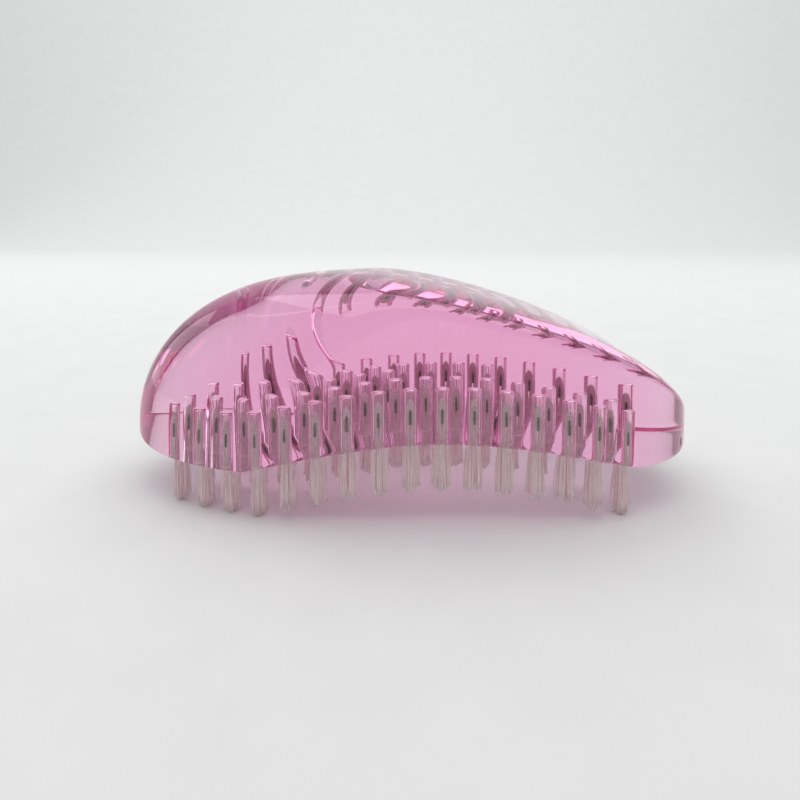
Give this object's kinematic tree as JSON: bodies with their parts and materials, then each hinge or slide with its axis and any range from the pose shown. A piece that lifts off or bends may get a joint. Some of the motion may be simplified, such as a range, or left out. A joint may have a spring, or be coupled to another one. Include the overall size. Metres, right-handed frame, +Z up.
{
  "type": "fade brush",
  "caption": "Palm-held barber's brush: an arched, domed clear plastic body with short stiff nylon tufts stapled into blind holes in its underside.",
  "frame": {"origin": "on the table under the middle of the brush, where the lowest tufts stand", "axes": "+Z up, away from the bristle tips; +X along the length, towards the lower, narrower end; +Y across the width"},
  "size_m": [0.12, 0.0516, 0.0463],
  "materials": {
    "clear_pink_plastic": "clear, polished, tinted pink",
    "pale_nylon": "translucent nylon filament"
  },
  "bodies": {
    "root": {"body": "clear_pink_plastic", "tuft_front_01": "pale_nylon", "tuft_front_02": "pale_nylon", "tuft_front_03": "pale_nylon", "tuft_front_04": "pale_nylon", "tuft_front_05": "pale_nylon", "tuft_front_06": "pale_nylon", "tuft_front_07": "pale_nylon", "tuft_front_08": "pale_nylon", "tuft_front_09": "pale_nylon", "tuft_front_10": "pale_nylon", "tuft_front_11": "pale_nylon", "tuft_front_12": "pale_nylon", "tuft_front_13": "pale_nylon", "tuft_front_14": "pale_nylon", "tuft_front_15": "pale_nylon", "tuft_front_16": "pale_nylon", "tuft_front_inner_01": "pale_nylon", "tuft_front_inner_02": "pale_nylon", "tuft_front_inner_03": "pale_nylon", "tuft_front_inner_04": "pale_nylon", "tuft_front_inner_05": "pale_nylon", "tuft_front_inner_06": "pale_nylon", "tuft_front_inner_07": "pale_nylon", "tuft_front_inner_08": "pale_nylon", "tuft_front_inner_09": "pale_nylon", "tuft_front_inner_10": "pale_nylon", "tuft_front_inner_11": "pale_nylon", "tuft_front_inner_12": "pale_nylon", "tuft_front_inner_13": "pale_nylon", "tuft_front_inner_14": "pale_nylon", "tuft_front_inner_15": "pale_nylon", "tuft_middle_01": "pale_nylon", "tuft_middle_02": "pale_nylon", "tuft_middle_03": "pale_nylon", "tuft_middle_04": "pale_nylon", "tuft_middle_05": "pale_nylon", "tuft_middle_06": "pale_nylon", "tuft_middle_07": "pale_nylon", "tuft_back_inner_01": "pale_nylon", "tuft_back_inner_02": "pale_nylon", "tuft_back_inner_03": "pale_nylon", "tuft_back_inner_04": "pale_nylon", "tuft_back_inner_05": "pale_nylon", "tuft_back_inner_06": "pale_nylon", "tuft_back_inner_07": "pale_nylon", "tuft_back_01": "pale_nylon", "tuft_back_02": "pale_nylon", "tuft_back_03": "pale_nylon", "tuft_back_04": "pale_nylon", "tuft_back_05": "pale_nylon", "tuft_back_06": "pale_nylon", "tuft_back_07": "pale_nylon", "tuft_back_08": "pale_nylon", "tuft_back_09": "pale_nylon", "tuft_back_10": "pale_nylon", "tuft_back_11": "pale_nylon", "tuft_back_12": "pale_nylon", "tuft_back_13": "pale_nylon", "tuft_back_14": "pale_nylon"}
  },
  "joints": []
}
